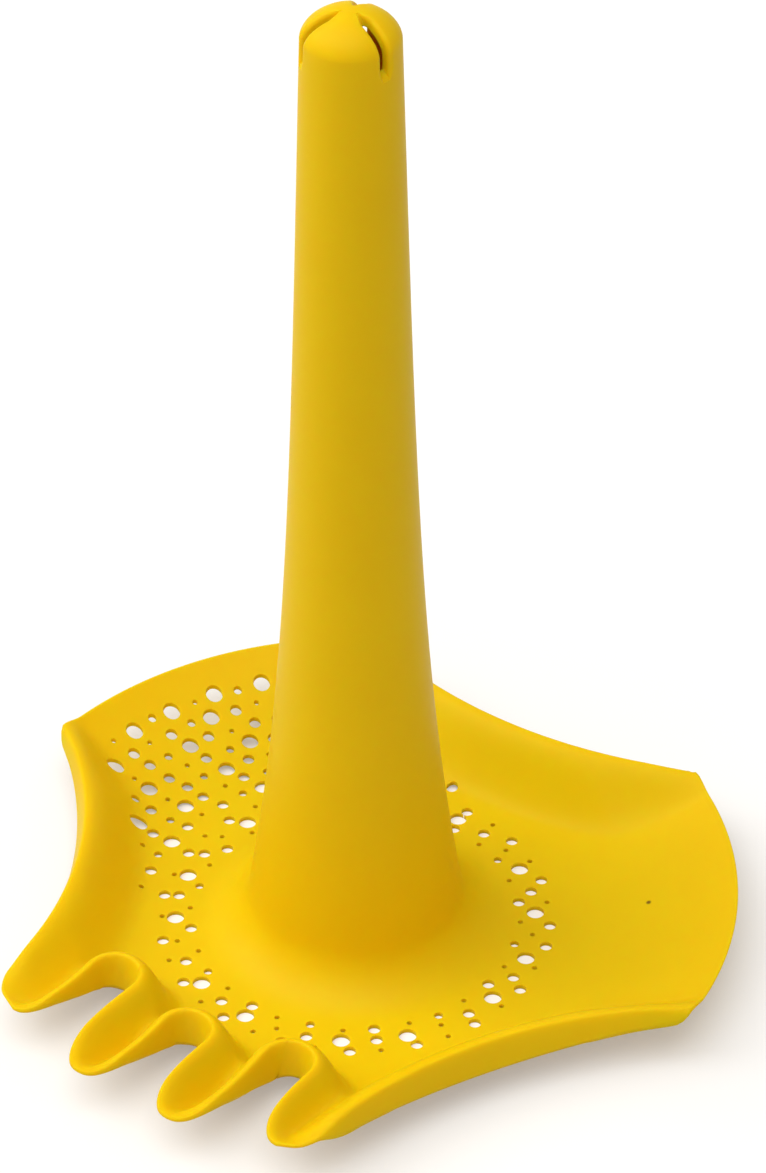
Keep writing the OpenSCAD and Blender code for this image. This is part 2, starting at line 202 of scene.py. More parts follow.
@dataclass(frozen=True)
class DishSize:
    """Sizes of the floor ring, the arms, the waists and the rake, in millimetres and degrees."""

    sheet_t: float = 1.3
    floor_r: float = 53.0
    rim_r: float = 98.4
    rim_z: float = 15.4
    sweep: float = 2.1
    corner_lift: float = 1.5
    corner_soft: float = 3.0
    turns: tuple[float, float, float] = (0.0, 120.0, 238.2)
    halves: tuple[float, float, float] = (28.4, 28.4, 30.7)
    waist_r: float = 74.4
    crest_z: float = 17.5
    lip_w: float = 3.0
    lip_steep: float = 4.0
    lip_round: float = 1.3
    crest_turn: float = 1.1
    corner_in: float = 7.0
    tine_count: int = 4
    tip_r: float = 98.0
    tip_z: float = 15.0
    tip_round: float = 10.0
    tine_l: float = 26.8
    tine_blunt: float = 2.4
    tine_shift: float = 0.75
    notch_r: float = 67.7
    notch_half: float = 4.2
    notch_turn: float = 80.0
    notch_steep: float = 6.0
    notch_curve: float = 1.6
    notch_z: float = 16.8
    notch_drop: float = 9.5
    notch_fade: float = 4.0
    tip_in: float = 6.0
    tip_soft: float = 0.1
    outer_trim: float = 0.3
    bend_share: float = 0.28
    reach_share: float = 0.95
    fade_share: float = 0.5
    hug_sheets: float = 2.7

    @property
    def rake_turn(self) -> float:
        """Turn of the rake from the shovel."""
        return self.turns[Arm.RAKE.value]

    @property
    def corner_y(self) -> float:
        """Distance of the rake's corners from its middle line."""
        return self.rim_r * math.sin(math.radians(self.halves[Arm.RAKE.value]))

    @property
    def tine_pitch(self) -> float:
        """Spacing of the notches between the tines."""
        return 2 * self.corner_y / (self.tine_count - self.outer_trim)

    @property
    def bend_x(self) -> float:
        """Distance at which the rake's lines turn to run side by side."""
        return mix(self.floor_r, self.waist_r, self.bend_share)

    @property
    def lip_in(self) -> float:
        """Width over which the lip at a waist's middle slopes down into the arms."""
        return self.reach_share * (self.waist_r - self.lip_w - self.floor_r)

    @property
    def tine_half(self) -> float:
        """Half the width of a tine."""
        return self.tine_pitch / 2 - self.notch_half

    @property
    def notch_in(self) -> float:
        """Width over which a notch's lip slopes down into the rake."""
        return self.reach_share * (self.notch_r - self.drop_w(self.notch_drop) - self.floor_r)

    @property
    def hug_w(self) -> float:
        """Width over which the underside turns to the inner side of a flange."""
        return self.hug_sheets * self.sheet_t

    @property
    def fade_r(self) -> float:
        """Radius from which the crests run down to the corners and tips."""
        return mix(self.waist_r, self.rim_r, self.fade_share)

    def drop_w(self, depth: np.ndarray) -> np.ndarray:
        """Width in plan of a notch's skirt of some depth."""
        return np.sqrt((depth / self.notch_steep + self.notch_curve) ** 2 - self.notch_curve ** 2)

    def notch_depth(self, r: np.ndarray) -> np.ndarray:
        """Depth of the notches' skirts at a radius, running out softly at the tips."""
        t = np.minimum(1 - (r - self.notch_r) / (self.rim_r - self.notch_fade - self.notch_r), 1.0)
        return self.notch_drop * (t + np.hypot(t, self.tip_soft)) / 2

    def end_z(self, arm: Arm) -> float:
        """Height of the crests at an arm's corners or tips."""
        return self.tip_z if arm is Arm.RAKE else self.rim_z + self.corner_lift


@dataclass
class Handle:
    """Hollow tapered handle: a profile turned about the Z axis."""

    size: HandleSize = field(default_factory=HandleSize)
    grip_rows: int = 40
    foot_rows: int = 26
    dome_rows: int = 20
    shoulder_rows: int = 9

    def radius(self, z: float) -> float:
        """Outer radius of the grip at a height, without the foot's sweep."""
        t = (self.size.shoulder_z - z) / self.size.shoulder_z
        return self.size.top_r + self.size.grip_taper * t + self.size.flare_gain * t ** 4

    def outer(self, z: float) -> np.ndarray:
        """Outer profile point, with the sweep into the floor.

        Args:
            z: Height.

        Returns:
            Radius and height.
        """
        soft = self.size.foot_r - self.radius(self.size.foot_t)
        d = max(soft - (z - self.size.foot_t), 0.0)
        return np.array([self.radius(z) + soft - math.sqrt(max(soft * soft - d * d, 0.0)), z])

    def inner(self, z: float) -> np.ndarray:
        """Inner profile point, one wall inside the outer one.

        Args:
            z: Height of the outer point.

        Returns:
            Radius and height.
        """
        s = self.size
        if z <= s.foot_t:
            return np.array([s.foot_r, 0.0])
        d = self.outer(z + STEP) - self.outer(max(z - STEP, s.foot_t))
        n = np.array([d[1], -d[0]]) / np.linalg.norm(d)
        return self.outer(z) - mix(s.foot_t, s.wall, clamp((z - s.foot_t) / (s.flare_h - s.foot_t))) * n

    def heights(self) -> list[float]:
        """Heights of the rows from the shoulder down to the floor, closer together at the foot."""
        top, bend, low = self.size.shoulder_z - self.size.shoulder_soft, self.size.flare_h, self.size.foot_t
        grip = [mix(top, bend, i / self.grip_rows) for i in range(1, self.grip_rows + 1)]
        foot = [low + (bend - low) * (1 - i / self.foot_rows) ** 2 for i in range(1, self.foot_rows + 1)]
        return grip + foot

    def dome(self, inset: float) -> list[np.ndarray]:
        """Rows of the dome and its rounded shoulder, from the apex out.

        Args:
            inset: Distance inside the outer surface.

        Returns:
            Profile points, the apex left out.
        """
        s = self.size
        ball = s.dome_r - inset

        def on_ball(r: float) -> np.ndarray:
            """Point of the dome's arc at a radius."""
            return np.array([r, s.total_h - s.dome_r + math.sqrt(ball * ball - r * r)])

        up_r = s.top_r - inset - s.shoulder_soft
        low_z = s.shoulder_z - s.shoulder_soft
        side = np.array([self.radius(low_z) - inset, low_z])
        edge = on_ball(s.top_r - inset)
        rows = [on_ball(up_r * i / self.dome_rows) for i in range(1, self.dome_rows)]
        for t in np.linspace(0, 1, self.shoulder_rows):
            rows.append((1 - t) ** 2 * on_ball(up_r) + 2 * t * (1 - t) * edge + t * t * side)
        return rows

    def outside(self) -> np.ndarray:
        """Profile of the outside from the apex to the foot, as rows of radius and height."""
        return np.array(self.dome(0.0) + [self.outer(z) for z in self.heights()])

    def inside(self) -> np.ndarray:
        """Profile of the inside from the foot to the apex, as rows of radius and height."""
        rows = self.dome(self.size.wall) + [self.inner(z) for z in self.heights()]
        return np.array(rows[::-1])


@dataclass
class Dish:
    """Floor ring and three arms: an outline in plan and a height over each plan point."""

    size: DishSize = field(default_factory=DishSize)

    def waist(self, arm: Arm, side: Side) -> tuple[float, float]:
        """Waist beside an arm.

        Args:
            arm: The arm.
            side: Its side.

        Returns:
            Angle from the arm to the waist's middle, and half the waist's angle.
        """
        other = (arm.value + side.value) % 3
        gap = ((self.size.turns[other] - self.size.turns[arm.value]) * side.value) % 360
        half = (gap - self.size.halves[arm.value] - self.size.halves[other]) / 2
        return self.size.halves[arm.value] + half, half

    def bow(self, half: float, middle_r: float) -> float:
        """Radius of the arc through a waist's middle and through two points of the rim.

        Args:
            half: Half the angle between the two points.
            middle_r: Radius of the arc's middle.

        Returns:
            The radius.
        """
        x = max(self.size.rim_r * math.cos(math.radians(half)) - middle_r, 1.0)
        y = self.size.rim_r * math.sin(math.radians(half))
        return (x * x + y * y) / (2 * x)

    def waist_edge(self, arm: Arm, side: Side, turns: np.ndarray) -> np.ndarray:
        """Bowed outline of the waist beside an arm.

        Args:
            arm: The arm.
            side: Its side.
            turns: Angles from the arm's middle towards that side.

        Returns:
            Radii of the edge, well outside the rim where a line misses the waist.
        """
        s = self.size
        mid, half = self.waist(arm, side)
        r = self.bow(half, s.waist_r)
        away = np.radians(mid - turns)
        q = r * r - ((s.waist_r + r) * np.sin(away)) ** 2
        bowed = (s.waist_r + r) * np.cos(away) - np.sqrt(np.maximum(q, 0.0))
        return np.where(q > 0, bowed, 4 * s.rim_r)

    def arm_edge(self, arm: Arm, turns: np.ndarray) -> np.ndarray:
        """Outline of the shovel or the sieve.

        Args:
            arm: The arm.
            turns: Angles from the arm's middle.

        Returns:
            Radii of the edge.
        """
        s = self.size
        edge = np.empty_like(turns)
        for side in Side:
            on = turns * side.value >= 0
            edge[on] = soft_min(s.rim_r, self.waist_edge(arm, side, np.abs(turns[on])), s.corner_soft)
        return edge

    def notch_ys(self) -> list[float]:
        """Places of the notches across the rake."""
        s = self.size
        return [(i - (s.tine_count - 2) / 2) * s.tine_pitch + s.tine_shift for i in range(s.tine_count - 1)]

    def tine_ys(self) -> list[float]:
        """Places of the tines across the rake."""
        first = self.notch_ys()[0] - self.size.tine_pitch / 2
        return [first + k * self.size.tine_pitch for k in range(self.size.tine_count)]

    def tine_edge(self, k: int, turns: np.ndarray) -> np.ndarray:
        """Outline of one tine, half a blunt ellipse.

        Args:
            k: Number of the tine.
            turns: Angles round the ellipse, 0 at the tip.

        Returns:
            Rows of distance along and across the rake.
        """
        s = self.size
        middle = self.tine_ys()[k]
        start = math.sqrt(s.tip_r ** 2 - middle ** 2) - s.tine_l
        a = np.radians(turns)
        along, across = np.abs(np.cos(a)) ** (2 / s.tine_blunt), np.abs(np.sin(a)) ** (2 / s.tine_blunt)
        return np.stack([start + s.tine_l * along, middle + s.tine_half * np.sign(a) * across], axis=-1)

    def notch_edge(self, i: int, count: int) -> np.ndarray:
        """Outline of one notch: a round inner end, joined to the tines beside it.

        Args:
            i: Number of the notch.
            count: Steps round a quarter of the inner end, and on each join.

        Returns:
            Rows of distance along and across the rake, the last join's end left out.
        """
        s = self.size
        centre = np.array([self.notch_x(i), self.notch_ys()[i]])
        end = centre - s.notch_half * polar(1.0, np.linspace(s.notch_turn, -s.notch_turn, 2 * count + 1))
        share = np.linspace(0, 1, count, endpoint=False)[:, None]
        before, after = self.tine_edge(i, s.notch_turn), self.tine_edge(i + 1, -s.notch_turn)
        return np.concatenate([mix(before, end[0], share), end[:-1], mix(end[-1], after, share)])

    def notch_x(self, i: int) -> float:
        """Distance along the rake of the middle of a notch's round end."""
        return math.sqrt(self.size.notch_r ** 2 - self.notch_ys()[i] ** 2) + self.size.notch_half

    def corner_edge(self, side: Side, turns: np.ndarray) -> np.ndarray:
        """Outline from an outer tine's tip round the corner to the middle of the waist.

        Args:
            side: Side of the rake.
            turns: Angles from the rake's middle.

        Returns:
            Rows of distance along and across the rake.
        """
        edge = soft_min(self.size.tip_r, self.waist_edge(Arm.RAKE, side, turns), self.size.tip_round)
        return polar(edge, side.value * turns)

    def rake_edge(self, corner_count: int, tine_count: int, notch_count: int) -> np.ndarray:
        """Outline of the whole rake from one waist's middle to the other's.

        Args:
            corner_count: Steps from a waist's middle to an outer tip.
            tine_count: Steps on half a tine.
            notch_count: Steps round a quarter of a notch's end.

        Returns:
            Rows of distance along and across the rake, the last waist's middle left out.
        """
        s = self.size
        tips = [math.degrees(math.atan2(abs(y), math.sqrt(s.tip_r ** 2 - y * y))) for y in self.tine_ys()]
        first, last = self.waist(Arm.RAKE, Side.RIGHT)[0], self.waist(Arm.RAKE, Side.LEFT)[0]
        found = [self.corner_edge(Side.RIGHT, np.linspace(first, tips[0], corner_count, endpoint=False))]
        end = s.tine_count - 1
        for k in range(s.tine_count):
            if k > 0:
                found.append(self.tine_edge(k, np.linspace(-s.notch_turn, 0, tine_count, endpoint=False)))
            if k < end:
                found.append(self.tine_edge(k, np.linspace(0, s.notch_turn, tine_count, endpoint=False)))
                found.append(self.notch_edge(k, notch_count))
        found.append(self.corner_edge(Side.LEFT, np.linspace(tips[end], last, corner_count, endpoint=False)))
        return np.concatenate(found)

    def waist_gap(self, plan: np.ndarray, arm: Arm) -> np.ndarray:
        """Distance of plan points from the crest of the waist after an arm.

        Args:
            plan: Rows of x and y.
            arm: The arm.

        Returns:
            Distances, negative on the flange outside the crest.
        """
        mid, half = self.waist(arm, Side.LEFT)
        middle_r = self.size.waist_r - self.size.lip_w
        r = self.bow(half + self.size.crest_turn, middle_r)
        centre = polar(middle_r + r, self.size.turns[arm.value] + mid)
        return np.linalg.norm(plan - centre, axis=-1) - r

    def tine_width(self, x: np.ndarray, k: int) -> tuple[np.ndarray, np.ndarray]:
        """Room that a tine leaves on each side of it.

        Args:
            x: Distances along the rake.
            k: Number of the tine.

        Returns:
            Distances from the tine's edge to the middle of the notch, and cosines of the edge's slant.
        """
        s = self.size
        start = self.tine_edge(k, 90.0)[0]
        u = np.minimum(clamp((x - start) / s.tine_l), NEAR_TIP)
        root = (1 - u ** s.tine_blunt) ** (1 / s.tine_blunt)
        slant = s.tine_half / s.tine_l * (u / root) ** (s.tine_blunt - 1)
        return s.tine_pitch / 2 - s.tine_half * root, 1 / np.hypot(1, slant)

    def notch_gap(self, plan: np.ndarray, i: int) -> np.ndarray:
        """Distance of plan points from the crest round a notch.

        Args:
            plan: Rows of x and y.
            i: Number of the notch.

        Returns:
            Distances, negative on the skirt inside the notch.
        """
        s = self.size
        x = plan @ polar(1.0, s.rake_turn)
        y = plan @ polar(1.0, s.rake_turn + 90) - self.notch_ys()[i]
        centre = self.notch_x(i)
        away = np.maximum(np.hypot(np.minimum(x - centre, 0.0), y), TINY)
        side = clamp((1 + y / away) / 2)
        before, after = (self.tine_width(np.maximum(x, centre), k) for k in (i, i + 1))
        half, slant = (mix(a, b, side) for a, b in zip(before, after))
        depth = s.notch_depth(np.linalg.norm(plan, axis=-1))
        return np.where(x < 0, s.rim_r, (away - half) * slant - s.drop_w(depth))

    def hem_share(self, plan: np.ndarray) -> np.ndarray:
        """Share of the sheet's thickness that lies on the inner side of the flanges."""
        s = self.size
        return clamp(2 * s.notch_depth(np.linalg.norm(plan, axis=-1)) / s.notch_drop)

    def hug(self, plan: np.ndarray) -> np.ndarray:
        """Share of the underside's shift behind a flange, whole from the crest outwards."""
        gaps = [self.waist_gap(plan, arm) for arm in Arm]
        gaps += [self.notch_gap(plan, i) for i in range(self.size.tine_count - 1)]
        return self.hem_share(plan) * ease(1 - np.min(gaps, axis=0) / self.size.hug_w)

    def flange_drop(self, plan: np.ndarray, inset: float) -> np.ndarray:
        """Drop of the flanges outside the crests.

        Args:
            plan: Plan points.
            inset: Distance inside the outer skin.

        Returns:
            Drops below the crests.
        """
        s = self.size
        hem = inset * self.hem_share(plan)
        outs = [(hem - self.waist_gap(plan, arm), s.lip_steep, s.lip_round) for arm in Arm]
        notches = range(s.tine_count - 1)
        outs += [(hem - self.notch_gap(plan, i), s.notch_steep, s.notch_curve) for i in notches]
        return sum(steep * (np.hypot(np.maximum(out, 0.0), curve) - curve) for out, steep, curve in outs)

    def free_share(self, gap: np.ndarray, width: np.ndarray) -> np.ndarray:
        """Share of the sweep that is free of a lip at a distance from its crest."""
        return 1 - (1 - clamp(gap / width) ** 2) ** 3

    def skin_z(self, plan: np.ndarray, end_z: np.ndarray, inset: float) -> np.ndarray:
        """Height of the sheet's skin: a sweep up from the floor with the lips raised over it.

        Args:
            plan: Plan points.
            end_z: Height to which the crests run at the rim.
            inset: 0 for the top, the sheet's thickness for the underside.

        Returns:
            Heights.
        """
        s = self.size
        r = np.linalg.norm(plan, axis=-1)
        base = s.sheet_t + (s.rim_z - s.sheet_t) * clamp((r - s.floor_r) / (s.rim_r - s.floor_r)) ** s.sweep
        notch_reach = mix(s.notch_in, s.tip_in, clamp((r - s.notch_r) / (s.rim_r - s.notch_r)))
        lip_reach = mix(s.lip_in, s.corner_in, clamp((r - s.waist_r) / (s.rim_r - s.waist_r)))
        waists = [self.free_share(self.waist_gap(plan, arm), lip_reach) for arm in Arm]
        notches = [self.free_share(self.notch_gap(plan, i), notch_reach) for i in range(s.tine_count - 1)]
        free = np.prod(waists, axis=0) * np.prod(notches, axis=0)
        crest = mix(s.notch_z, s.crest_z, np.prod(notches, axis=0))
        crest = mix(crest, end_z, ease((r - s.fade_r) / (s.rim_r - s.fade_r)))
        return mix(crest, base, free) - self.flange_drop(plan, inset) - inset

    def flange_lean(self, plan: np.ndarray) -> np.ndarray:
        """Outward lean of the flanges' skin.

        Args:
            plan: Plan points.

        Returns:
            Level parts of the skin's unit normals.
        """
        x, y = np.array([PLAN_STEP, 0.0]), np.array([0.0, PLAN_STEP])
        slopes = [self.flange_drop(plan + d, 0.0) - self.flange_drop(plan - d, 0.0) for d in (x, y)]
        slope = np.stack(slopes, axis=-1) / (2 * PLAN_STEP)
        return slope / np.sqrt(1 + np.sum(slope ** 2, axis=-1, keepdims=True))

    def arm_lines(self, arm: Arm, turns: np.ndarray) -> np.ndarray:
        """Plan lines of the shovel or the sieve.

        Args:
            arm: The arm.
            turns: Angles from the arm's middle.

        Returns:
            Start, middle and end of each line.
        """
        r = self.arm_edge(arm, turns)
        way = turns + self.size.turns[arm.value]
        floor_r = np.full_like(r, self.size.floor_r)
        return np.stack([polar(floor_r, way), polar((floor_r + r) / 2, way), polar(r, way)], axis=1)

    def rake_lines(self, ends: np.ndarray) -> np.ndarray:
        """Plan lines of the rake.

        Args:
            ends: Rows of distance along and across the rake.

        Returns:
            Start, middle and end of each line.
        """
        s = self.size
        x, y = ends[:, 0], ends[:, 1]
        side = np.where(y < 0, -1, 1)
        a, corner = np.abs(y), s.corner_y
        mid = np.where(y < 0, self.waist(Arm.RAKE, Side.RIGHT)[0], self.waist(Arm.RAKE, Side.LEFT)[0])
        reach = s.waist_r * np.sin(np.radians(mid))
        half = s.halves[Arm.RAKE.value]
        corner_turn = math.degrees(math.atan(corner / s.bend_x))
        past_turn = clamp((np.degrees(np.arctan2(a, x)) - half) / (mid - half))
        past_y = clamp((a - corner) / (reach - corner))
        inside = np.degrees(np.arctan(np.minimum(a, corner) / s.bend_x))
        turn = np.where(a <= corner, inside, mix(corner_turn, mid, past_turn))
        bent = s.bend_x / np.cos(np.radians(inside))
        mid_r = np.where(a <= corner, bent, mix(bent, (s.floor_r + s.waist_r) / 2, past_y))
        way = s.rake_turn + side * turn
        end = polar(x, np.full_like(x, s.rake_turn)) + polar(y, np.full_like(x, s.rake_turn + 90))
        return np.stack([polar(np.full_like(x, s.floor_r), way), polar(mid_r, way), end], axis=1)

    def part_lines(self, plan: np.ndarray, lines: np.ndarray) -> np.ndarray:
        """Move the rake's points across it, so that its short and long lines never cross.

        Args:
            plan: Points of each line.
            lines: Start, middle and end of each line.

        Returns:
            The points, which differ from the given ones only on the lines between the outer tines.
        """
        s = self.size
        along, across = polar(1.0, s.rake_turn), polar(1.0, s.rake_turn + 90)
        first, last = np.abs(lines[:, (0, 2)] @ across).T[:, :, None]
        start, end = (lines[:, (0, 2)] @ along).T[:, :, None]
        notch = min(self.notch_x(i) for i in range(s.tine_count - 1)) - s.notch_half
        outer = np.max(np.abs(self.tine_ys()))
        share = np.where(end > 0, ease((s.corner_y - last) / (s.corner_y - outer)), 0.0)
        t = clamp((plan @ along - start) / (notch - start))
        aim = np.sign(lines[:, 2] @ across)[:, None] * (last - (last - first) * (1 - t) ** 2)
        return plan + (share * (aim - plan @ across))[:, :, None] * across


@dataclass
class Moulding:
    """The whole tool as one closed grid of lines and rows."""

    handle: Handle = field(default_factory=Handle)
    dish: Dish = field(default_factory=Dish)
    arm_count: int = 170
    corner_count: int = 60
    tine_count: int = 34
    notch_count: int = 12
    out_rows: int = 60
    edge_rows: int = 6
    ring_rows: int = 5
    crowding: float = 1.8
    least_slant: float = 0.2

    def lines(self) -> tuple[np.ndarray, np.ndarray]:
        """All plan lines once round the dish, anticlockwise from the shovel's right side.

        Returns:
            The lines, and the height to which the crests run on each.
        """
        found, ends = [], []
        for arm in (Arm.SHOVEL, Arm.SIEVE):
            first, last = -self.dish.waist(arm, Side.RIGHT)[0], self.dish.waist(arm, Side.LEFT)[0]
            found.append(self.dish.arm_lines(arm, np.linspace(first, last, self.arm_count, endpoint=False)))
            ends.append(np.full(self.arm_count, self.dish.size.end_z(arm)))
        outline = self.dish.rake_edge(self.corner_count, self.tine_count, self.notch_count)
        found.append(self.dish.rake_lines(outline))
        ends.append(np.full(len(outline), self.dish.size.end_z(Arm.RAKE)))
        return np.concatenate(found), np.concatenate(ends)[:, None]

    def sheets(self) -> tuple[np.ndarray, np.ndarray]:
        """Upper and lower surfaces of the arms, rounded together at the free edge.

        Returns:
            Grids of line, row and xyz for the top and the underside.
        """
        thick = self.dish.size.sheet_t
        lines, end_z = self.lines()
        ends = lines[:, 2]
        way = ends - lines[:, 1]
        edge = np.roll(ends, -1, axis=0) - np.roll(ends, 1, axis=0)
        cross = np.abs(way[:, 0] * edge[:, 1] - way[:, 1] * edge[:, 0])
        slant = cross / (np.linalg.norm(way, axis=1) * np.linalg.norm(edge, axis=1))
        lean = self.dish.flange_lean(ends)
        flat = np.sqrt(1 - np.sum(lean ** 2, axis=1))
        bead = thick / 2 * flat / np.maximum(slant, self.least_slant) / (2 * np.linalg.norm(way, axis=1))
        main = 1 - (1 - np.linspace(0, 1, self.out_rows)) ** self.crowding
        turn = np.radians(np.linspace(0, 90, self.edge_rows + 1)[1:])
        q = np.hstack([main * (1 - bead[:, None]), 1 - bead[:, None] * (1 - np.sin(turn))])[:, :, None]
        start, bend, end = (lines[:, None, i] for i in range(3))
        plan = (1 - q) ** 2 * start + 2 * q * (1 - q) * bend + q * q * end
        plan = self.dish.part_lines(plan, lines)
        under = plan - self.dish.hug(plan)[:, :, None] * thick * lean[:, None]
        top = np.dstack([plan, self.dish.skin_z(plan, end_z, 0.0)])
        low = np.dstack([under, self.dish.skin_z(under, end_z, thick)])
        closing = np.concatenate([np.ones(self.out_rows), np.cos(turn)])[:, None]
        middle, half = (top + low) / 2, (top - low) / 2 * closing
        return middle + half, middle - half

    def rows(self) -> list[np.ndarray]:
        """Rows of points from the dome's apex outside to its apex inside.

        Returns:
            One array of line and xyz per row.
        """
        top, low = self.sheets()
        ring = top[:, 0, :2] / np.linalg.norm(top[:, 0, :2], axis=1, keepdims=True)

        def turned(r: float, z: float) -> np.ndarray:
            """Row of points round the axis."""
            return np.hstack([ring * r, np.full((len(ring), 1), z)])

        foot, floor, thick = self.handle.size.foot_r, self.dish.size.floor_r, self.dish.size.sheet_t
        between = [mix(foot, floor, i / self.ring_rows) for i in range(1, self.ring_rows)]
        rows = [turned(r, z) for r, z in self.handle.outside()]
        rows += [turned(r, thick) for r in between]
        rows += [top[:, j] for j in range(top.shape[1])]
        rows += [low[:, j] for j in range(low.shape[1] - 2, -1, -1)]
        rows += [turned(r, 0.0) for r in reversed(between)]
        rows += [turned(r, z) for r, z in self.handle.inside()]
        return rows

    def mesh(self) -> bpy.types.Mesh:
        """Closed mesh of the moulding, without its holes, in metres."""
        rows = self.rows()
        count = len(rows[0])
        size = self.handle.size
        poles = np.array([[0, 0, size.total_h], [0, 0, size.total_h - size.wall]])
        points = np.vstack([*rows, poles])
        faces = band_faces(len(rows), count)
        last, up, down = (len(rows) - 1) * count, len(points) - 2, len(points) - 1
        for i in range(count):
            j = (i + 1) % count
            faces.append((up, i, j))
            faces.append((last + i, down, last + j))
        return closed_mesh("moulding", points, faces)


@dataclass(frozen=True)
class HoleSize:
    """Sizes and spacing of the sieve holes, in millimetres and degrees."""

    large: float = 4.6
    medium: float = 3.2
    small: float = 2.3
    pin: float = 1.4
    ring_pitch: float = 8.4
    pitch: float = 6.6
    row_step: float = 5.3
    fan_gap: float = 3.9
    margin: float = 9.0
    lip_clear: float = 13.5
    seam_clear: float = 4.0
    shift: float = 0.4
    shift_turn: float = 137.5
    shift_row_turn: float = 71.0
    ring_shares: tuple[float, float, float] = (0.15, 0.475, 0.79)


@dataclass
class SieveHoles:
    """Round holes in the floor ring and in the sieve, placed by rule."""

    dish: Dish
    handle: Handle
    size: HoleSize = field(default_factory=HoleSize)
    sides: int = 32

    def wobble(self, i: int, j: int, k: float) -> float:
        """Small shift that makes the rows look less regular.

        Args:
            i: Place in the row.
            j: Row.
            k: Phase in degrees.

        Returns:
            Millimetres.
        """
        turn = self.size.shift_turn * i + self.size.shift_row_turn * j + k
        return self.size.shift * math.sin(math.radians(turn))

    def ring(self) -> list[tuple[float, float, float]]:
        """Holes of the floor ring, each with its radius, angle in degrees and diameter."""
        s = self.size
        foot, floor = self.handle.size.foot_r, self.dish.size.floor_r
        cycles = ((s.pin, s.medium, s.pin, s.small), (s.large, s.medium, s.large, s.pin, s.medium),
                  (s.medium, s.pin, s.medium, s.pin))
        found = []
        for j, (share, cycle) in enumerate(zip(s.ring_shares, cycles)):
            row_r = mix(foot, floor, share)
            count = math.floor(2 * math.pi * row_r / s.ring_pitch)
            for i in range(count):
                d = cycle[i % len(cycle)]
                r = row_r + (self.wobble(i, j, 0) if d < s.medium else 0)
                turn = 360 * (i + 0.5 * (j % 2)) / count + math.degrees(self.wobble(i, j, 90) / r)
                found.append((r, turn, d))
        return found

    def fits(self, r: float, turn: float) -> bool:
        """Whether a hole keeps clear of the sieve's seams and lips.

        Args:
            r: Radius of the hole's place.
            turn: Its angle from the sieve's middle.

        Returns:
            True if it does.
        """
        s, dish = self.size, self.dish
        plan = polar(r, turn + dish.size.turns[Arm.SIEVE.value])
        gap = min(dish.waist_gap(plan, Arm.SHOVEL), dish.waist_gap(plan, Arm.SIEVE))
        waist_r, last_r = dish.size.waist_r, dish.size.rim_r - s.margin
        clear = mix(s.lip_clear, s.margin, clamp((r - waist_r) / (last_r - waist_r)))
        mid = dish.waist(Arm.SIEVE, Side.RIGHT if turn < 0 else Side.LEFT)[0]
        return bool(abs(turn) < mid - s.seam_clear and gap >= clear)

    def fan(self) -> list[tuple[float, float, float]]:
        """Holes of the sieve, each with its radius, angle in degrees and diameter."""
        s, size = self.size, self.dish.size
        inner, outer = (s.large, s.small, s.medium, s.pin, s.medium), (s.large, s.pin, s.large, s.small)
        reach = math.ceil(size.rim_r / s.pitch)
        found = []
        row_r, j = size.floor_r + s.fan_gap, 0
        while row_r <= size.rim_r - s.margin:
            cycle = inner if row_r + s.row_step <= size.rim_r - s.margin else outer
            for i in range(-reach, reach + 1):
                r = row_r + self.wobble(i, j, 0)
                turn = math.degrees(((i + 0.5 * (j % 2)) * s.pitch + self.wobble(i, j, 90)) / row_r)
                if self.fits(r, turn):
                    found.append((r, turn + size.turns[Arm.SIEVE.value], cycle[(i + 2 * j) % len(cycle)]))
            row_r, j = row_r + s.row_step, j + 1
        return found

    def cutter(self) -> bpy.types.Mesh:
        """One mesh of upright cylinders, one for each hole, in metres."""
        points: list[tuple[float, float, float]] = []
        faces: list[tuple[int, ...]] = []
        sides = self.sides
        for r, turn, d in self.ring() + self.fan():
            x, y = polar(r, turn)
            first = len(points)
            for z in (-self.dish.size.sheet_t, self.dish.size.crest_z + self.dish.size.sheet_t):
                for k in range(sides):
                    a = 2 * math.pi * (k + 0.5) / sides
                    points.append((x + d / 2 * math.cos(a), y + d / 2 * math.sin(a), z))
            for k in range(sides):
                m = (k + 1) % sides
                faces.append((first + k, first + m, first + sides + m, first + sides + k))
            faces.append(tuple(range(first + sides - 1, first - 1, -1)))
            faces.append(tuple(range(first + sides, first + 2 * sides)))
        return closed_mesh("hole_cutter", points, faces)


@dataclass(frozen=True)
class SlotSize:
    """Sizes of the slots in the dome, in millimetres and degrees."""

    count: int = 3
    at: float = 77.0
    width: float = 2.2
    lip_r: float = 1.4
    start_r: float = 1.6
    opens_after: float = 4.2
    drop: float = 4.4
    fade: float = 3.2
    depth: float = 3.2
    end_depth: float = 0.15
    narrows: float = 0.42
    start_share: float = 0.2
    stop_share: float = 0.5


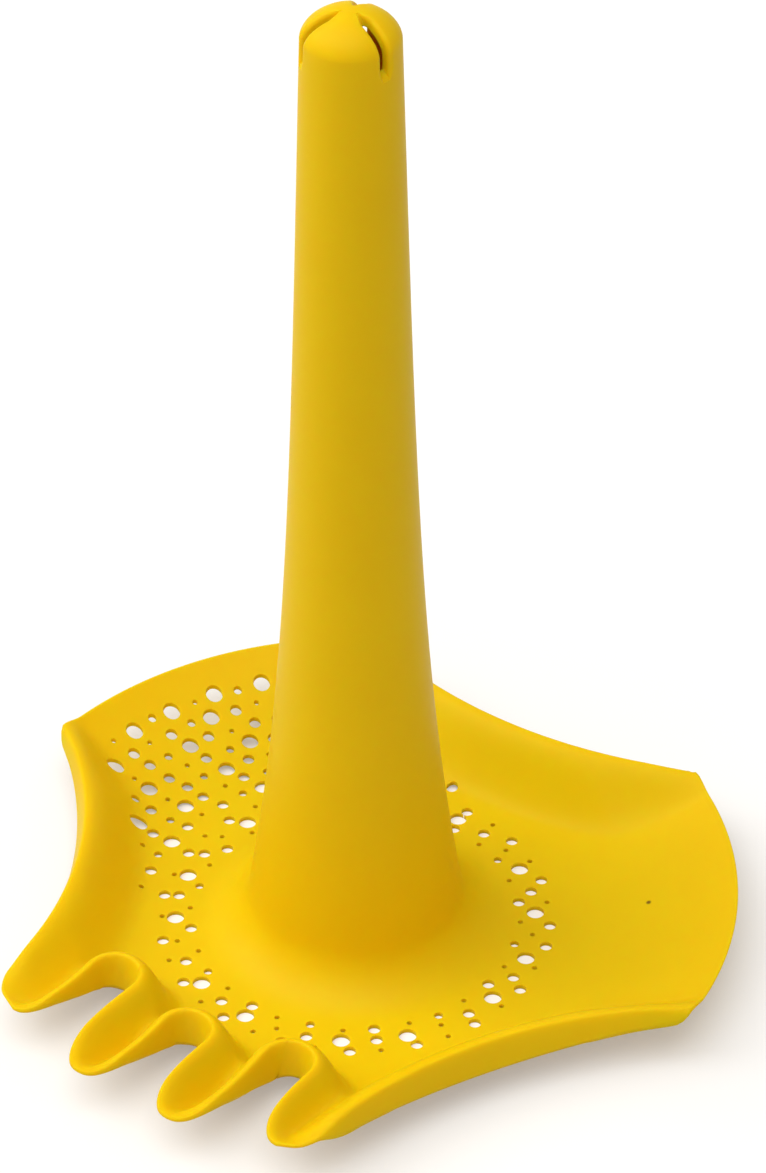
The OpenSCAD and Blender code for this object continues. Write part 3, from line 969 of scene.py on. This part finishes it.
@dataclass
class CapSlots:
    """Radial slots with soft lips in the dome."""

    handle: Handle
    size: SlotSize = field(default_factory=SlotSize)
    sections: int = 70
    curve: int = 10
    side_rows: int = 20
    above: float = 1.0
    least_lean: float = 0.05

    def path(self) -> np.ndarray:
        """Outer profile under a slot, evenly spaced.

        Returns:
            Rows of radius and height from near the apex to below the shoulder.
        """
        s = self.handle.size
        rows = self.handle.dome(0.0)
        top, low = s.shoulder_z - s.shoulder_soft, s.shoulder_z - self.size.drop - self.size.fade
        rows += [self.handle.outer(z) for z in np.linspace(top, low, self.side_rows)[1:]]
        line = np.array([p for p in rows if p[0] >= self.size.start_r])
        step = np.linalg.norm(np.diff(line, axis=0), axis=1)
        at = np.concatenate([[0], np.cumsum(step)])
        even = np.linspace(0, at[-1], self.sections)
        return np.stack([np.interp(even, at, line[:, 0]), np.interp(even, at, line[:, 1])], axis=1)

    def cutter(self, turn: float) -> bpy.types.Mesh:
        """Mesh that cuts one slot.

        Args:
            turn: Angle of the slot in degrees.

        Returns:
            The mesh, in metres.
        """
        s = self.size
        path = self.path()
        tangent = np.gradient(path, axis=0)
        tangent /= np.linalg.norm(tangent, axis=1, keepdims=True)
        length = float(np.sum(np.linalg.norm(np.diff(path, axis=0), axis=1)))
        out = np.array([math.cos(math.radians(turn)), math.sin(math.radians(turn)), 0])
        side = np.array([-out[1], out[0], 0])
        points: list[np.ndarray] = []
        for k, (p, t) in enumerate(zip(path, tangent)):
            at = length * k / (self.sections - 1)
            normal = np.array([-t[1], t[0]]) * (1 if -t[1] > 0 or t[0] > 0 else -1)
            bend = p[0] / max(normal[0], self.least_lean)
            start, stop = ease(at / s.opens_after), ease((length - at) / s.fade)
            depth = s.end_depth + (s.depth - s.end_depth) * start * stop
            spread = mix(s.start_share, 1.0, start) * mix(s.stop_share, 1.0, stop ** 0.5)
            ring = []
            for i in range(self.curve + 1):
                d = min(depth, s.lip_r) * (1 - math.cos(math.radians(90 * i / self.curve)))
                ring.append((s.width / 2 + s.lip_r - math.sqrt(max(s.lip_r ** 2 - (s.lip_r - d) ** 2, 0)), d))
            ring.append((ring[-1][0] * s.narrows, depth + STEP))
            ring.insert(0, (ring[0][0], -self.above))
            half = [(x * spread, d + (x * spread) ** 2 / (2 * bend)) for x, d in ring]
            for x, d in half + [(-x, d) for x, d in reversed(half)]:
                at_p = p - normal * d
                points.append(out * at_p[0] + side * x + np.array([0, 0, at_p[1]]))
        per = 2 * (self.curve + 3)
        faces = band_faces(self.sections, per)
        faces.append(tuple(range(per)))
        faces.append(tuple(range(self.sections * per - 1, (self.sections - 1) * per - 1, -1)))
        return closed_mesh("slot_cutter", points, faces)

    def cutters(self) -> list[bpy.types.Mesh]:
        """Cutters of all the slots, one mesh for each."""
        return [self.cutter(self.size.at + i * 360 / self.size.count) for i in range(self.size.count)]


@dataclass(frozen=True)
class PlasticFinish:
    """Satin, slightly translucent moulded plastic."""

    name: str = "yellow_plastic"
    colour: tuple[float, float, float] = (0.88, 0.570, 0.003)
    shade: tuple[float, float, float] = (0.84, 0.515, 0.002)
    mark: tuple[float, float, float] = (0.20, 0.11, 0.01)
    mark_at: tuple[float, float, float] = (0.0757, 0.0066, 0.0047)
    mark_r: float = 0.0006
    roughness: float = 0.46
    roughness_spread: float = 0.06
    scatter: float = 0.6
    specular: float = 0.08
    scatter_radius: tuple[float, float, float] = (0.0045, 0.0019, 0.0002)
    grain: float = 0.00002
    grain_strength: float = 0.35
    grain_scale: float = 1500.0
    grain_detail: float = 2.0
    cloud_scale: float = 38.0
    cloud_detail: float = 3.0
    mark_soft: float = 0.4

    def material(self) -> bpy.types.Material:
        """Make the material.

        Returns:
            The material.
        """
        made = bpy.data.materials.new(self.name)
        made.use_nodes = True
        nodes, links = made.node_tree.nodes, made.node_tree.links
        shader = nodes["Principled BSDF"]
        place = nodes.new("ShaderNodeTexCoord")
        cloud = nodes.new("ShaderNodeTexNoise")
        cloud.inputs["Scale"].default_value = self.cloud_scale
        cloud.inputs["Detail"].default_value = self.cloud_detail
        fine = nodes.new("ShaderNodeTexNoise")
        fine.inputs["Scale"].default_value = self.grain_scale
        fine.inputs["Detail"].default_value = self.grain_detail
        links.new(place.outputs["Object"], cloud.inputs["Vector"])
        links.new(place.outputs["Object"], fine.inputs["Vector"])
        tint = nodes.new("ShaderNodeMix")
        tint.data_type = "RGBA"
        tint.inputs["A"].default_value = (*self.colour, 1)
        tint.inputs["B"].default_value = (*self.shade, 1)
        links.new(cloud.outputs["Fac"], tint.inputs["Factor"])
        gap = nodes.new("ShaderNodeVectorMath")
        gap.operation = "DISTANCE"
        gap.inputs[1].default_value = self.mark_at
        links.new(place.outputs["Object"], gap.inputs[0])
        near = nodes.new("ShaderNodeMapRange")
        near.inputs["From Min"].default_value = self.mark_r * (1 + self.mark_soft)
        near.inputs["From Max"].default_value = self.mark_r * (1 - self.mark_soft)
        links.new(gap.outputs["Value"], near.inputs["Value"])
        marked = nodes.new("ShaderNodeMix")
        marked.data_type = "RGBA"
        marked.inputs["B"].default_value = (*self.mark, 1)
        links.new(near.outputs["Result"], marked.inputs["Factor"])
        links.new(tint.outputs["Result"], marked.inputs["A"])
        links.new(marked.outputs["Result"], shader.inputs["Base Color"])
        rough = nodes.new("ShaderNodeMapRange")
        rough.inputs["To Min"].default_value = self.roughness - self.roughness_spread
        rough.inputs["To Max"].default_value = self.roughness + self.roughness_spread
        links.new(fine.outputs["Fac"], rough.inputs["Value"])
        links.new(rough.outputs["Result"], shader.inputs["Roughness"])
        bump = nodes.new("ShaderNodeBump")
        bump.inputs["Strength"].default_value = self.grain_strength
        bump.inputs["Distance"].default_value = self.grain
        links.new(fine.outputs["Fac"], bump.inputs["Height"])
        links.new(bump.outputs["Normal"], shader.inputs["Normal"])
        shader.inputs["Subsurface Weight"].default_value = self.scatter
        shader.inputs["Subsurface Radius"].default_value = self.scatter_radius
        shader.inputs["Subsurface Scale"].default_value = 1.0
        shader.inputs["Specular IOR Level"].default_value = self.specular
        return made


@dataclass
class Tool:
    """The shown tool: the moulding with its holes and slots cut."""

    moulding: Moulding = field(default_factory=Moulding)
    finish: PlasticFinish = field(default_factory=PlasticFinish)
    sharp_over: float = 42.0

    def cut(self, target: bpy.types.Object, meshes: Sequence[bpy.types.Mesh]) -> None:
        """Take cutter meshes away from an object for good.

        Args:
            target: The object that is cut.
            meshes: Closed cutter meshes.
        """
        tools = []
        for mesh in meshes:
            tool = add_object(mesh.name, mesh)
            cut = target.modifiers.new(mesh.name, "BOOLEAN")
            cut.operation = "DIFFERENCE"
            cut.solver = "MANIFOLD"
            cut.object = tool
            tools.append(tool)
        bpy.context.view_layer.update()
        shown = target.evaluated_get(bpy.context.evaluated_depsgraph_get())
        made = bpy.data.meshes.new_from_object(shown)
        target.modifiers.clear()
        target.data = made
        for tool in tools:
            bpy.data.objects.remove(tool)

    def build(self) -> bpy.types.Object:
        """Make the tool and put it on the frame.

        Returns:
            The object.
        """
        mesh = self.moulding.mesh()
        tool = add_object("moulding", mesh)
        holes = SieveHoles(self.moulding.dish, self.moulding.handle)
        slots = CapSlots(self.moulding.handle)
        self.cut(tool, [holes.cutter(), *slots.cutters()])
        for face in tool.data.polygons:
            face.use_smooth = True
        tool.data.set_sharp_from_angle(angle=math.radians(self.sharp_over))
        tool.data.materials.clear()
        tool.data.materials.append(self.finish.material())
        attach(tool, "root")
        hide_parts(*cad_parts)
        return tool


@dataclass(frozen=True)
class AreaLamp:
    """A soft rectangular lamp."""

    name: str
    place: tuple[float, float, float]
    aim: tuple[float, float, float]
    width: float
    height: float
    watts: float
    colour: tuple[float, float, float] = (1.0, 1.0, 1.0)

    def build(self) -> bpy.types.Object:
        """Make the lamp.

        Returns:
            The lamp's object.
        """
        data = bpy.data.lights.new(self.name, "AREA")
        data.shape = "RECTANGLE"
        data.size, data.size_y = self.width, self.height
        data.energy = self.watts
        data.color = self.colour
        lamp = add_object(self.name, data)
        lamp.location = self.place
        look = Vector(self.aim) - Vector(self.place)
        lamp.rotation_euler = look.to_track_quat("-Z", "Y").to_euler()
        return lamp


@dataclass
class Studio:
    """Pale floor, soft light and the photo's camera."""

    floor_colour: tuple[float, float, float] = (0.60, 0.60, 0.59)
    floor_seen: tuple[float, float, float] = (0.70, 0.70, 0.70)
    floor_glow: float = 0.28
    floor_half: float = 6.0
    floor_roughness: float = 0.9
    floor_specular: float = 0.1
    world_colour: tuple[float, float, float] = (1.0, 0.93, 0.84)
    world_strength: float = 0.43
    camera_place: tuple[float, float, float] = (0.06597, -0.81270, 0.74210)
    camera_pitch: float = 37.82
    camera_turn: float = 4.14
    lens: float = 129.89
    sensor: float = 36.0
    clip: tuple[float, float] = (0.05, 30.0)
    lamps: tuple[AreaLamp, ...] = (
        AreaLamp("key", (-5.2, 0.4, 5.2), (0.0, 0.0, 0.05), 5.6, 5.6, 258.0),
        AreaLamp("top", (-0.6, -2.2, 6.8), (0.0, 0.0, 0.05), 6.4, 6.4, 294.0),
    )

    def floor(self) -> None:
        """Make the floor that the tool stands on."""
        mesh = bpy.data.meshes.new("floor")
        far = self.floor_half
        mesh.from_pydata([(-far, -far, 0), (far, -far, 0), (far, far, 0), (-far, far, 0)], [], [(0, 1, 2, 3)])
        floor = add_object("floor", mesh)
        paper = bpy.data.materials.new("paper")
        paper.use_nodes = True
        nodes, links = paper.node_tree.nodes, paper.node_tree.links
        shader = nodes["Principled BSDF"]
        path = nodes.new("ShaderNodeLightPath")
        tone = nodes.new("ShaderNodeMix")
        tone.data_type = "RGBA"
        tone.inputs["A"].default_value = (*self.floor_colour, 1)
        tone.inputs["B"].default_value = (*self.floor_seen, 1)
        seen = path.outputs["Is Camera Ray"]
        for ray in ("Is Glossy Ray", "Is Transmission Ray"):
            either = nodes.new("ShaderNodeMath")
            either.operation = "MAXIMUM"
            links.new(seen, either.inputs[0])
            links.new(path.outputs[ray], either.inputs[1])
            seen = either.outputs["Value"]
        links.new(seen, tone.inputs["Factor"])
        links.new(tone.outputs["Result"], shader.inputs["Base Color"])
        glow = nodes.new("ShaderNodeMath")
        glow.operation = "MULTIPLY"
        glow.inputs[1].default_value = self.floor_glow
        links.new(seen, glow.inputs[0])
        links.new(glow.outputs["Value"], shader.inputs["Emission Strength"])
        shader.inputs["Emission Color"].default_value = (1.0, 1.0, 1.0, 1.0)
        shader.inputs["Roughness"].default_value = self.floor_roughness
        shader.inputs["Specular IOR Level"].default_value = self.floor_specular
        mesh.materials.append(paper)

    def world(self) -> None:
        """Make the even light from all round."""
        world = bpy.data.worlds.new("studio")
        world.use_nodes = True
        back = world.node_tree.nodes["Background"]
        back.inputs["Color"].default_value = (*self.world_colour, 1)
        back.inputs["Strength"].default_value = self.world_strength
        bpy.context.scene.world = world

    def camera(self) -> None:
        """Make the camera at the photo's angle."""
        data = bpy.data.cameras.new("camera")
        data.sensor_width = self.sensor
        data.lens = self.lens
        data.clip_start, data.clip_end = self.clip
        camera = add_object("camera", data)
        camera.location = self.camera_place
        camera.rotation_euler = (math.radians(90 - self.camera_pitch), 0.0, math.radians(self.camera_turn))
        bpy.context.scene.camera = camera

    def build(self) -> None:
        """Make the whole studio."""
        self.floor()
        self.world()
        self.camera()
        for lamp in self.lamps:
            lamp.build()
        bpy.context.scene.view_settings.view_transform = "Standard"


def main() -> None:
    """Build the scene and log the number of the tool's faces and of the lamps."""
    logging.basicConfig(level=logging.INFO)
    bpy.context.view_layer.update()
    tool = Tool().build()
    LOG.info("%s: %d faces with its holes and slots", tool.name, len(tool.data.polygons))
    studio = Studio()
    studio.build()
    LOG.info("studio: floor, camera and %d lamps", len(studio.lamps))
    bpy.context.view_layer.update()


if __name__ == "__main__":
    main()
